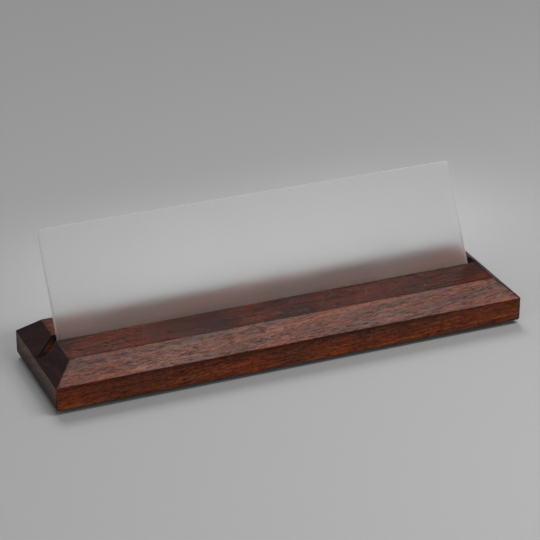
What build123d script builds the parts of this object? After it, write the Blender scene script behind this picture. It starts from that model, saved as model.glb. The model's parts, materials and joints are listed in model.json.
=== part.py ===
from build123d import *
from math import cos, radians, sin, tan
import os

# Desk name plate: a bevelled hardwood block with a leaning slot sawn along its whole
# length, a frosted acrylic plate that stands in the slot, and four rubber feet.
# The origin is on the desk under the middle of the block. The plate's face looks to -Y.

# Base block
base_length = 254.0
base_width = 67.0
side_height = 13.0
bevel_height = 9.0
bevel_run = 10.5
corner_radius = 0.8
bottom_radius = 1.6
arris_radius = 0.5

# Name plate
plate_length = 227.0
plate_height = 61.8
plate_thickness = 4.0
plate_lean = 30.0
plate_shift = -1.2
plate_corner_radius = 1.2
plate_edge_break = 0.25

# Slot in the base
slot_depth = 7.7
slot_setback = 1.4
slot_clearance = 0.5
slot_easing = 0.3

# Feet
foot_diameter = 10.0
foot_height = 2.0
foot_inset = 14.0
foot_rounding = 1.2

# Levels and sizes that follow
bevel_start = foot_height + side_height
base_top = bevel_start + bevel_height
flat_length = base_length - 2 * bevel_run
flat_width = base_width - 2 * bevel_run
slot_width = plate_thickness + 2 * slot_clearance
slot_overcut = slot_width * tan(radians(plate_lean))
slot_zone = (slot_setback - slot_width, slot_setback + slot_width)
foot_x = base_length / 2 - foot_inset
foot_y = base_width / 2 - foot_inset

# The slot leans back from just behind the middle of the flat top; its floor is square to its walls.
lean_up = Vector(0, sin(radians(plate_lean)), cos(radians(plate_lean)))
lean_front = Vector(0, -cos(radians(plate_lean)), sin(radians(plate_lean)))
slot_mouth = Plane(origin=(0, slot_setback, base_top), x_dir=(1, 0, 0), z_dir=lean_up)
slot_floor = slot_mouth.offset(-slot_depth)
plate_middle = Plane(origin=slot_floor.origin, x_dir=(1, 0, 0), z_dir=lean_front)

os.makedirs("parts", exist_ok=True)

# Base block: upright sides, then bevels of equal run that meet in rounded mitres
with BuildPart() as base_block:
    with BuildSketch(Plane.XY.offset(foot_height)):
        RectangleRounded(base_length, base_width, corner_radius)
    extrude(amount=side_height)
    with BuildSketch(Plane.XY.offset(bevel_start)):
        RectangleRounded(base_length, base_width, corner_radius)
    with BuildSketch(Plane.XY.offset(base_top)):
        RectangleRounded(flat_length, flat_width, corner_radius)
    loft(ruled=True)
    fillet(base_block.edges().group_by(Axis.Z)[0], bottom_radius)
    fillet(base_block.edges().filter_by_position(Axis.Z, bevel_start, bevel_start), arris_radius)
    fillet(base_block.edges().group_by(Axis.Z)[-1], arris_radius)
    # The slot runs out through both end bevels
    with BuildSketch(slot_floor):
        Rectangle(base_length + slot_width, slot_width)
    extrude(amount=slot_depth + slot_overcut, mode=Mode.SUBTRACT)
    flat_edges = base_block.faces().group_by(Axis.Z)[-1].edges().filter_by(Axis.X)
    fillet(flat_edges.filter_by_position(Axis.Y, *slot_zone), slot_easing)
base_block.part.label = "base_block"
export_step(base_block.part, "parts/base_block.step")

# Name plate: stands on the slot's floor, midway between its walls
with BuildPart() as name_plate:
    with BuildSketch(plate_middle):
        with Locations((plate_shift, plate_height / 2)):
            RectangleRounded(plate_length, plate_height, plate_corner_radius)
    extrude(amount=plate_thickness / 2, both=True)
    broad_faces = name_plate.faces().sort_by(SortBy.AREA)[-2:]
    chamfer(broad_faces.edges(), plate_edge_break)
name_plate.part.label = "name_plate"
export_step(name_plate.part, "parts/name_plate.step")

# Feet: round bumpers under the four corners of the block
foot_places = {
    "foot_front_left": (-foot_x, -foot_y),
    "foot_front_right": (foot_x, -foot_y),
    "foot_rear_left": (-foot_x, foot_y),
    "foot_rear_right": (foot_x, foot_y),
}
for foot_name, (x, y) in foot_places.items():
    with BuildPart() as foot:
        with BuildSketch(Plane(origin=(x, y, 0))):
            Circle(foot_diameter / 2)
        extrude(amount=foot_height)
        fillet(foot.edges().group_by(Axis.Z)[0], foot_rounding)
    foot.part.label = foot_name
    export_step(foot.part, f"parts/{foot_name}.step")
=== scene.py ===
import json
import math

import bpy
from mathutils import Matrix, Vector


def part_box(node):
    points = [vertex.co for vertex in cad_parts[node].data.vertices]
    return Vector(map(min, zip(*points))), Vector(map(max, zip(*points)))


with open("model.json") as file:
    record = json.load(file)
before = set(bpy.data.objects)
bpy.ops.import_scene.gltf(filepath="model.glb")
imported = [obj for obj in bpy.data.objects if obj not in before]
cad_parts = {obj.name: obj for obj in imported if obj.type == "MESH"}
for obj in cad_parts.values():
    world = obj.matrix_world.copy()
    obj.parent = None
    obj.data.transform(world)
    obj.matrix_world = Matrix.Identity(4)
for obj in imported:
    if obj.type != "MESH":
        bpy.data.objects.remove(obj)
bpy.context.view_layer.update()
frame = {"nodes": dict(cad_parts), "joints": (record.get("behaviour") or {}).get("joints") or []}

nodes = frame["nodes"]
scene = bpy.context.scene
scene.view_settings.view_transform = "Standard"
print("frame loaded:", ", ".join(sorted(nodes)))

perMetre = 1000.0                              # millimetres
noiseSpan = (0.3, 0.7)                         # holds nearly all of a noise's values
noiseMiddle = (0.5, 0.5, 0.5)
rising = (0.0, 1.0)
falling = (1.0, 0.0)
bothWays = (-1.0, 1.0)


# small helpers for building node trees

def fill(tree, node, inputs):
    for key, value in inputs.items():
        if isinstance(value, bpy.types.NodeSocket):
            tree.links.new(value, node.inputs[key])
        else:
            node.inputs[key].default_value = value


def addNode(tree, kind, inputs=None, **settings):
    node = tree.nodes.new(kind)
    for key, value in settings.items():
        setattr(node, key, value)
    fill(tree, node, inputs or {})
    return node


def addMath(tree, operation, a, b=0.0, clamp=False):
    return addNode(tree, "ShaderNodeMath", {0: a, 1: b}, operation=operation, use_clamp=clamp).outputs[0]


def addVector(tree, operation, a, b=(0.0, 0.0, 0.0), output="Vector"):
    return addNode(tree, "ShaderNodeVectorMath", {0: a, 1: b}, operation=operation).outputs[output]


def addDot(tree, a, b):
    return addVector(tree, "DOT_PRODUCT", a, b, output="Value")


def addScale(tree, vector, factor):
    inputs = {0: vector, "Scale": factor}
    return addNode(tree, "ShaderNodeVectorMath", inputs, operation="SCALE").outputs["Vector"]


def addSplit(tree, vector):
    return addNode(tree, "ShaderNodeSeparateXYZ", {0: vector}).outputs


def addRange(tree, value, span, result=rising, smooth=True):
    kind = "SMOOTHSTEP" if smooth else "LINEAR"
    inputs = {
        "Value": value, "From Min": span[0], "From Max": span[1],
        "To Min": result[0], "To Max": result[1],
    }
    return addNode(tree, "ShaderNodeMapRange", inputs, interpolation_type=kind).outputs["Result"]


# a number that goes from a to b with a share from 0 to 1
def addBlend(tree, share, a, b):
    return addRange(tree, share, rising, (a, b), smooth=False)


# the same for colours
def addMix(tree, share, a, b, blend="MIX"):
    node = addNode(tree, "ShaderNodeMix", {0: share, 6: a, 7: b}, data_type="RGBA", blend_type=blend)
    return node.outputs[2]


def addTint(tree, colour, tint):
    return addMix(tree, 1.0, colour, tint, blend="MULTIPLY")


def addNoise(tree, vector, detail, roughness, output="Fac"):
    inputs = {"Vector": vector, "Scale": 1.0, "Detail": detail, "Roughness": roughness}
    return addNode(tree, "ShaderNodeTexNoise", inputs).outputs[output]


def newGroup(name, inputs, outputs):
    tree = bpy.data.node_groups.new(name, "ShaderNodeTree")
    for socketName, kind, value in inputs:
        socket = tree.interface.new_socket(socketName, in_out="INPUT", socket_type="NodeSocket" + kind)
        if value is not None:
            socket.default_value = value
    for socketName, kind in outputs:
        tree.interface.new_socket(socketName, in_out="OUTPUT", socket_type="NodeSocket" + kind)
    start = tree.nodes.new("NodeGroupInput")
    end = tree.nodes.new("NodeGroupOutput")
    return tree, start.outputs, end


def useGroup(tree, group, inputs):
    node = tree.nodes.new("ShaderNodeGroup")
    node.node_tree = group
    fill(tree, node, inputs)
    return node.outputs


# handled sheen: roughness that wanders in soft patches
def makeSurfaceSmudge():
    tree, given, end = newGroup(
        "surfaceSmudge",
        [("Position", "Vector", None), ("Patch Size", "Float", 20.0),
         ("Roughness", "Float", 0.4), ("Variation", "Float", 0.05)],
        [("Roughness", "Float")],
    )
    inverse = addMath(tree, "DIVIDE", 1.0, given["Patch Size"])
    patches = addNoise(tree, addScale(tree, given["Position"], inverse), detail=4.0, roughness=0.6)
    swing = addRange(tree, patches, noiseSpan, bothWays)
    change = addMath(tree, "MULTIPLY", swing, given["Variation"])
    fill(tree, end, {"Roughness": addMath(tree, "ADD", given["Roughness"], change, clamp=True)})
    return tree


# tiny grains: a tooth for the bump and a slight mottle in the colour
def makeFineGrain():
    tree, given, end = newGroup(
        "fineGrain",
        [("Position", "Vector", None), ("Grain Size", "Float", 0.5), ("Color", "Color", None),
         ("Mottle", "Float", 0.05)],
        [("Color", "Color"), ("Height", "Float")],
    )
    inverse = addMath(tree, "DIVIDE", 1.0, given["Grain Size"])
    grains = addNoise(tree, addScale(tree, given["Position"], inverse), detail=3.0, roughness=0.7)
    swing = addRange(tree, grains, noiseSpan, bothWays, smooth=False)
    tint = addMath(tree, "ADD", addMath(tree, "MULTIPLY", swing, given["Mottle"]), 1.0)
    fill(tree, end, {"Color": addScale(tree, given["Color"], tint), "Height": grains})
    return tree


figureLook = {
    "layers": {                                # cells per mm along and across the grain, detail, roughness
        "wander": (0.008, 0.04, 3.0, 0.5),
        "patches": (0.02, 0.13, 3.0, 0.55),
        "streaks": (0.03, 0.8, 3.0, 0.65),
        "lines": (0.012, 0.55, 3.0, 0.6),
        "fibres": (0.08, 2.6, 3.0, 0.65),
        "flecks": (0.4, 1.0, 2.0, 0.7),
        "dashes": (0.22, 3.0, 1.0, 0.5),
        "clusters": (0.035, 0.22, 2.0, 0.5),
    },
    "pith": (0.0, -20.0, -62.0),               # millimetres, on the line that the growth bands circle
    "bandDetail": 3.0,
    "bandRoughness": 0.6,
    "bandShare": 0.55,                         # of the tone; the rest comes from the streaks
    "darkToMiddle": (0.36, 0.52),
    "middleToLight": (0.5, 0.64),
    "castSpan": (0.36, 0.64),
    "coolCast": (0.84, 0.91, 1.03, 1.0),
    "warmCast": (1.18, 1.06, 0.86, 1.0),
    "lineSpan": (0.38, 0.62),
    "redLine": (1.12, 0.96, 1.0, 1.0),
    "oliveLine": (0.86, 0.98, 0.92, 1.0),
    "fibreDrift": 0.3,                         # fibres run straighter than the bands
    "fibreSpan": (0.25, 0.75),
    "fibreTones": (0.66, 1.34),
    "fibreRelief": 0.3,
    "fleckTones": (0.56, 1.44),
    "fleckRelief": 1.5,
    "vesselCrowding": 0.25,
    "vesselSpan": (0.685, 0.775),
    "vesselTone": 0.36,
}


def addLayer(tree, place, name, output="Fac"):
    along, across, detail, roughness = figureLook["layers"][name]
    stretched = addVector(tree, "MULTIPLY", place, (along, across, across))
    return addNoise(tree, stretched, detail, roughness, output)


# wood figure: growth bands about a pith line below the block, fibres, flecks and vessels along the length
def makeWoodFigure():
    look = figureLook
    tree, given, end = newGroup(
        "woodFigure",
        [("Position", "Vector", None), ("Run Out", "Vector", None), ("Band Width", "Float", 3.0),
         ("Drift", "Float", 6.0), ("Vessels", "Float", 1.0), ("Light", "Color", None),
         ("Middle", "Color", None), ("Dark", "Color", None)],
        [("Color", "Color"), ("Lines", "Float"), ("Vessels", "Float"), ("Height", "Float")],
    )
    turned = {"Vector": given["Position"], "Rotation": given["Run Out"]}
    place = addNode(tree, "ShaderNodeMapping", turned).outputs["Vector"]
    wander = addVector(tree, "SUBTRACT", addLayer(tree, place, "wander", "Color"), noiseMiddle)
    drift = addScale(tree, wander, given["Drift"])
    moved = addVector(tree, "ADD", place, drift)
    straight = addVector(tree, "ADD", place, addScale(tree, drift, look["fibreDrift"]))

    fromPith = addVector(tree, "SUBTRACT", moved, look["pith"])
    across = addVector(tree, "MULTIPLY", fromPith, (0.0, 1.0, 1.0))
    radius = addVector(tree, "LENGTH", across, output="Value")
    bands = addNode(tree, "ShaderNodeTexNoise", {
        "W": addMath(tree, "DIVIDE", radius, given["Band Width"]), "Scale": 1.0,
        "Detail": look["bandDetail"], "Roughness": look["bandRoughness"],
    }, noise_dimensions="1D").outputs["Fac"]
    lines = addLayer(tree, moved, "lines")
    fibres = addLayer(tree, straight, "fibres")
    flecks = addLayer(tree, straight, "flecks")

    # three tones, then a cool or a warm cast in patches and red or olive lines
    tone = addBlend(tree, look["bandShare"], addLayer(tree, moved, "streaks"), bands)
    deep = addMix(tree, addRange(tree, tone, look["darkToMiddle"]), given["Dark"], given["Middle"])
    toned = addMix(tree, addRange(tree, tone, look["middleToLight"]), deep, given["Light"])
    castShare = addRange(tree, addLayer(tree, place, "patches"), look["castSpan"])
    cast = addMix(tree, castShare, look["coolCast"], look["warmCast"])
    hue = addMix(tree, addRange(tree, lines, look["lineSpan"]), look["redLine"], look["oliveLine"])
    figured = addTint(tree, addTint(tree, toned, cast), hue)

    # vessels are dashes that come in clusters
    clusters = addMath(tree, "MULTIPLY", addLayer(tree, moved, "clusters"), look["vesselCrowding"])
    crowded = addMath(tree, "ADD", addLayer(tree, straight, "dashes"), clusters)
    pores = addRange(tree, crowded, look["vesselSpan"])
    vessels = addMath(tree, "MULTIPLY", pores, given["Vessels"], clamp=True)

    fibreTint = addRange(tree, fibres, look["fibreSpan"], look["fibreTones"], smooth=False)
    fleckTint = addRange(tree, flecks, noiseSpan, look["fleckTones"], smooth=False)
    vesselTint = addBlend(tree, vessels, 1.0, look["vesselTone"])
    tint = addMath(tree, "MULTIPLY", addMath(tree, "MULTIPLY", fibreTint, vesselTint), fleckTint)
    fibreRelief = addMath(tree, "MULTIPLY", fibres, look["fibreRelief"])
    fleckRelief = addMath(tree, "MULTIPLY", flecks, look["fleckRelief"])
    relief = addMath(tree, "ADD", fibreRelief, fleckRelief)
    fill(tree, end, {
        "Color": addScale(tree, figured, tint),
        "Lines": lines,
        "Vessels": vessels,
        "Height": addMath(tree, "SUBTRACT", relief, vessels),
    })
    return tree


surfaceSmudge = makeSurfaceSmudge()
fineGrain = makeFineGrain()
woodFigure = makeWoodFigure()
print("node groups made")


# steps that the materials share

def newMaterial(name):
    material = bpy.data.materials.new(name)
    material.use_nodes = True
    tree = material.node_tree
    return material, tree, tree.nodes["Principled BSDF"]


def addPlace(tree):
    coords = addNode(tree, "ShaderNodeTexCoord").outputs
    return addScale(tree, coords["Object"], perMetre)


def addNormal(tree):
    return addNode(tree, "ShaderNodeTexCoord").outputs["Normal"]


def addGrain(tree, place, look):
    return useGroup(tree, fineGrain, {
        "Position": place, "Grain Size": look["grainSize"],
        "Color": look["color"], "Mottle": look["mottle"],
    })


def addSheen(tree, place, look):
    return useGroup(tree, surfaceSmudge, {
        "Position": place, "Patch Size": look["patchSize"],
        "Roughness": look["roughness"], "Variation": look["roughnessVariation"],
    })["Roughness"]


def addBump(tree, height, look):
    inputs = {"Strength": look["bumpStrength"], "Distance": look["bumpDepth"], "Height": height}
    return addNode(tree, "ShaderNodeBump", inputs).outputs["Normal"]


def dress(names, material):
    for name in names:
        slots = nodes[name].data.materials
        slots.clear()
        slots.append(material)


blockShape = {                                 # millimetres, as in the part's source
    "bevelRise": 9.0,
    "bevelRun": 10.5,
    "slotSetback": 1.4,                        # from the middle of the flat top back to the slot's mouth
    "slotHalf": 2.5,
    "slotDepth": 7.7,
    "wallMargin": (0.02, 0.15),                # raw wood fades out just behind the slot's walls and floor
    "floorMargin": (0.5, 0.3),
    "uprightFacing": (0.2, 0.5),               # how much of a normal points up or along the length
    "levelFacing": (0.93, 0.99),
    "endFacing": (0.1, 0.4),
}
blockHalfLength, blockHalfWidth, blockTop = [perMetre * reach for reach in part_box("base_block")[1]]
leanUp = Vector(frame["joints"][0]["axis"])    # the plate and its slot lean back alike
leanFront = Vector((1.0, 0.0, 0.0)).cross(leanUp)


# places on the block in millimetres, and masks from 0 to 1 for its faces and its slot
def findZones(tree, place, normal):
    shape = blockShape
    facing = addSplit(tree, addVector(tree, "ABSOLUTE", normal))
    along = addSplit(tree, place)
    endGrain = addRange(tree, facing["X"], shape["endFacing"])
    zones = {
        "fromMiddle": addMath(tree, "ABSOLUTE", along["X"]),
        "backward": along["Y"],
        "height": along["Z"],
        "upright": addRange(tree, facing["Z"], shape["uprightFacing"], falling),
        "level": addRange(tree, facing["Z"], shape["levelFacing"]),
        "endGrain": endGrain,
        "longGrain": addMath(tree, "SUBTRACT", 1.0, endGrain),
    }

    # depth below the planes of the end bevels and of the long bevels
    out, up = Vector((shape["bevelRise"], shape["bevelRun"])).normalized()
    lowArris = blockTop - shape["bevelRise"]
    folded = addVector(tree, "ABSOLUTE", place)
    endBevel = ((out, 0.0, up), blockHalfLength)
    longBevel = ((0.0, out, up), blockHalfWidth)
    for zone, (direction, reach) in {"underEndBevel": endBevel, "underLongBevel": longBevel}.items():
        plane = out * reach + up * lowArris
        zones[zone] = addMath(tree, "SUBTRACT", plane, addDot(tree, folded, direction))

    fromMouth = addVector(tree, "SUBTRACT", place, (0.0, shape["slotSetback"], blockTop))
    offMiddle = addMath(tree, "ABSOLUTE", addDot(tree, fromMouth, leanFront))
    wallSpan = [shape["slotHalf"] + margin for margin in shape["wallMargin"]]
    floorSpan = [-shape["slotDepth"] - margin for margin in shape["floorMargin"]]
    between = addRange(tree, offMiddle, wallSpan, falling)
    above = addRange(tree, addDot(tree, fromMouth, leanUp), floorSpan)
    zones["slot"] = addMath(tree, "MULTIPLY", between, above)
    return zones


woodLook = {                                   # lengths in millimetres, the bump's depth in metres
    "light": (0.205, 0.052, 0.016, 1.0),
    "middle": (0.142, 0.031, 0.010, 1.0),
    "dark": (0.080, 0.017, 0.0075, 1.0),
    "runOut": (0.0, 0.06, -0.05),              # turn of the grain off the block's length
    "bandWidth": 3.4,
    "drift": 9.0,
    "vessels": 1.0,
    "endGrainShade": (0.17, 0.26, 0.90, 1.0),  # end grain drinks more stain, most of all on its bevels
    "paintedEndSheen": (0.76, 1.70, 3.90, 1.0),    # painted sheen: end faces are greyed as by a reflection under the bevel, with painted shade darkening them near the desk
    "paintedEndShade": (0.20, 0.22, 0.36, 1.0),
    "endSheenRise": (4.5, 14.5),
    "paintedTopShade": (0.45, 0.36, 0.36, 1.0),       # painted shade: the flat top is darker than the bevels, most along its front
    "topShadeFade": (-0.5, 2.5),                    # where the painted shade thins out towards the back, and what is left there
    "topShadeRest": 0.15,
    "stripeSpan": (0.36, 0.64),
    "stripeTones": (1.45, 0.6),
    "sideTones": (1.15, 0.78),                 # the long sides are lighter near the desk
    "sideRise": (4.0, 14.0),
    "borderShade": (0.60, 0.50, 0.46, 1.0),    # stain gathered on the faces beside the bevels
    "borderStart": (0.01, 0.1),                # depths below a bevel's plane
    "borderFade": (0.4, 2.0),
    "rawWood": (0.25, 0.105, 0.055, 1.0),      # paler unlacquered wood in the slot
    "rawFigure": 0.2,
    "slotStain": (0.42, 0.53, 0.50, 1.0),      # stain that has run into the slot's ends
    "slotStainFrom": (110.0, 114.0),           # where along the slot that stain begins and is full
    "paintedSlotShade": (0.004, 0.002, 0.0015, 1.0),    # painted shade at the slot's rim and beside the plate
    "slotShadeDepth": (0.3, 1.1),
    "slotShadeUntil": (115.5, 118.5),
    "roughness": 0.28,
    "roughnessVariation": 0.05,
    "patchSize": 24.0,
    "endRoughness": 0.5,
    "rawRoughness": 0.8,
    "specular": 0.14,
    "coat": 0.06,
    "coatRoughness": 0.12,
    "vesselCoatLoss": 0.7,
    "bumpStrength": 0.5,
    "bumpDepth": 0.00012,
}


# the wood's colour on the block's outer faces
def stainFaces(tree, wood, zones):
    look = woodLook
    # painted sheen on the end faces under the bevel, fading to painted shade near the desk; the end bevels
    # keep their stain
    sheenRise = addRange(tree, zones["height"], look["endSheenRise"])
    endSheen = addMix(tree, sheenRise, look["paintedEndShade"], look["paintedEndSheen"])
    endStainAndSheen = addMix(tree, zones["upright"], look["endGrainShade"], endSheen)
    colour = addMix(tree, zones["endGrain"], wood["Color"], addTint(tree, wood["Color"], endStainAndSheen))

    # painted shade on the flat top, thinning out towards the back
    topShadeFade = addRange(tree, zones["backward"], look["topShadeFade"], (1.0, look["topShadeRest"]))
    shadedTop = addMath(tree, "MULTIPLY", zones["level"], topShadeFade)
    striped = addScale(tree, colour, addRange(tree, wood["Lines"], look["stripeSpan"], look["stripeTones"]))
    colour = addMix(tree, shadedTop, colour, addTint(tree, striped, look["paintedTopShade"]))

    longSide = addMath(tree, "MULTIPLY", zones["upright"], zones["longGrain"])
    sideTone = addRange(tree, zones["height"], look["sideRise"], look["sideTones"])
    colour = addMix(tree, longSide, colour, addScale(tree, colour, sideTone))

    borders = []
    for zone in ("underEndBevel", "underLongBevel"):
        start = addRange(tree, zones[zone], look["borderStart"])
        fade = addRange(tree, zones[zone], look["borderFade"], falling)
        borders.append(addMath(tree, "MULTIPLY", start, fade))
    border = addMath(tree, "MULTIPLY", addMath(tree, "MAXIMUM", *borders), zones["longGrain"])
    return addMix(tree, border, colour, addTint(tree, colour, look["borderShade"]))


# raw wood inside the slot, stained at the slot's ends, with painted shade at its rim and beside the plate
def stainSlot(tree, wood, zones):
    look = woodLook
    fresh = addMix(tree, look["rawFigure"], look["rawWood"], wood["Color"])
    # painted shade near the slot's rim and beside the plate's ends
    nearRim = addRange(tree, zones["underEndBevel"], look["slotShadeDepth"], falling)
    nearPlate = addRange(tree, zones["fromMiddle"], look["slotShadeUntil"], falling)
    shadeShare = addMath(tree, "MAXIMUM", nearRim, nearPlate)
    stainAndShade = addMix(tree, shadeShare, addTint(tree, wood["Color"], look["slotStain"]), look["paintedSlotShade"])
    stained = addRange(tree, zones["fromMiddle"], look["slotStainFrom"])
    return addMix(tree, stained, fresh, stainAndShade)


def lacqueredWood():
    look = woodLook
    material, tree, shader = newMaterial("lacqueredWood")
    place = addPlace(tree)
    wood = useGroup(tree, woodFigure, {
        "Position": place, "Run Out": look["runOut"], "Band Width": look["bandWidth"],
        "Drift": look["drift"], "Vessels": look["vessels"],
        "Light": look["light"], "Middle": look["middle"], "Dark": look["dark"],
    })
    zones = findZones(tree, place, addNormal(tree))
    ends = addBlend(tree, zones["endGrain"], addSheen(tree, place, look), look["endRoughness"])
    openVessels = addMath(tree, "MULTIPLY", wood["Vessels"], look["vesselCoatLoss"])
    uncoated = addMath(tree, "MAXIMUM", openVessels, zones["slot"])
    faces = stainFaces(tree, wood, zones)
    fill(tree, shader, {
        "Base Color": addMix(tree, zones["slot"], faces, stainSlot(tree, wood, zones)),
        "Roughness": addBlend(tree, zones["slot"], ends, look["rawRoughness"]),
        "Specular IOR Level": look["specular"],
        "Coat Weight": addBlend(tree, uncoated, look["coat"], 0.0),
        "Coat Roughness": look["coatRoughness"],
        "Normal": addBump(tree, wood["Height"], look),
    })
    return material


acrylicLook = {
    "color": (0.975, 0.98, 0.98, 1.0),
    "mottle": 0.012,
    "grainSize": 0.35,
    "roughness": 0.45,
    "roughnessVariation": 0.03,
    "patchSize": 35.0,
    "cutRoughness": 0.90,                      # cut edges are rougher than the frosted faces
    "cutFacing": (0.75, 0.95),                 # how much of a normal points along the plate's own
    "transmission": 0.97,
    "ior": 1.49,
    "bumpStrength": 0.15,
    "bumpDepth": 0.00003,
}


def frostedAcrylic():
    look = acrylicLook
    material, tree, shader = newMaterial("frostedAcrylic")
    place = addPlace(tree)
    frost = addGrain(tree, place, look)
    facing = addMath(tree, "ABSOLUTE", addDot(tree, addNormal(tree), leanFront))
    cutEdge = addRange(tree, facing, look["cutFacing"], falling)
    fill(tree, shader, {
        "Base Color": frost["Color"],
        "Roughness": addBlend(tree, cutEdge, addSheen(tree, place, look), look["cutRoughness"]),
        "IOR": look["ior"],
        "Transmission Weight": look["transmission"],
        "Normal": addBump(tree, frost["Height"], look),
    })
    return material


rubberLook = {
    "color": (0.022, 0.022, 0.023, 1.0),
    "mottle": 0.25,
    "grainSize": 0.4,
    "roughness": 0.72,
    "roughnessVariation": 0.08,
    "patchSize": 4.0,
    "bumpStrength": 0.4,
    "bumpDepth": 0.0001,
}


def footRubber():
    look = rubberLook
    material, tree, shader = newMaterial("footRubber")
    place = addPlace(tree)
    grain = addGrain(tree, place, look)
    fill(tree, shader, {
        "Base Color": grain["Color"],
        "Roughness": addSheen(tree, place, look),
        "Normal": addBump(tree, grain["Height"], look),
    })
    return material


dress(["base_block"], lacqueredWood())
dress(["name_plate"], frostedAcrylic())
dress([name for name in nodes if name.startswith("foot_")], footRubber())
print("materials on", len(nodes), "pieces")


stageLook = {                                  # lengths in metres
    "floorColor": (0.44, 0.44, 0.44, 1.0),
    "floorRoughness": 0.9,
    "floorRadius": 12.0,
    "floorSides": 96,
    "glowColor": (1.0, 1.0, 1.0, 1.0),
    "glowRise": (0.06, 0.24),                  # heights in the sky over which the horizon's glow fades
    "glowStrength": (0.27, 0.13),
    "softboxes": {                             # facing down: where, length, depth, watts, spread in degrees
        "key": ((0.26, -0.26, 0.64), 0.50, 0.17, 2.45, 180.0),
        "back": ((0.045, 0.11, 0.36), 0.26, 0.08, 0.032, 28.0),
    },
    "suns": {                                  # where from, strength, width in degrees
        "fill": ((-0.62, -0.70, 0.36), 0.80, 60.0),
        "top": ((0.08, 0.58, 0.81), 1.35, 30.0),
    },
}


# hangs a lamp or a camera with its back turned to a direction
def hang(name, data, backward):
    hung = bpy.data.objects.new(name, data)
    hung.rotation_euler = backward.to_track_quat("Z", "Y").to_euler()
    scene.collection.objects.link(hung)
    return hung


def makeFloor():
    look = stageLook
    bpy.ops.mesh.primitive_circle_add(
        vertices=look["floorSides"], radius=look["floorRadius"], fill_type="NGON",
    )
    floor = bpy.context.object
    floor.name = "floor"
    material, tree, shader = newMaterial("paleFloor")
    fill(tree, shader, {
        "Base Color": look["floorColor"], "Roughness": look["floorRoughness"], "Specular IOR Level": 0.0,
    })
    floor.data.materials.append(material)


def makeLight():
    look = stageLook
    scene.world = bpy.data.worlds.new("studio")
    scene.world.use_nodes = True
    tree = scene.world.node_tree
    direction = addNode(tree, "ShaderNodeTexCoord").outputs["Generated"]
    glow = addRange(tree, addSplit(tree, direction)["Z"], look["glowRise"], look["glowStrength"])
    fill(tree, tree.nodes["Background"], {"Color": look["glowColor"], "Strength": glow})

    for name, (place, length, depth, power, spread) in look["softboxes"].items():
        lamp = bpy.data.lights.new(name, "AREA")
        lamp.shape = "RECTANGLE"
        lamp.size = length
        lamp.size_y = depth
        lamp.energy = power
        lamp.spread = math.radians(spread)
        hang(name, lamp, Vector((0.0, 0.0, 1.0))).location = place
    for name, (source, strength, width) in look["suns"].items():
        lamp = bpy.data.lights.new(name, "SUN")
        lamp.energy = strength
        lamp.angle = math.radians(width)
        hang(name, lamp, Vector(source))


makeFloor()
makeLight()
print("stage and light set")


cameraLook = {                                 # metres, degrees, and the sensor in millimetres
    "place": (-0.38213, -0.91063, 0.51965),
    "azimuth": -22.7068,
    "elevation": 25.9008,
    "focalPixels": 2154.22,
    "imagePixels": 540.0,
    "sensor": 36.0,
}


def makeCamera():
    look = cameraLook
    data = bpy.data.cameras.new("camera")
    data.sensor_width = look["sensor"]
    data.lens = look["focalPixels"] / look["imagePixels"] * look["sensor"]
    azimuth = math.radians(look["azimuth"])
    elevation = math.radians(look["elevation"])
    level = math.cos(elevation)
    back = Vector((math.sin(azimuth) * level, -math.cos(azimuth) * level, math.sin(elevation)))
    camera = hang("camera", data, back)
    camera.location = look["place"]
    scene.camera = camera


makeCamera()
print("camera set")
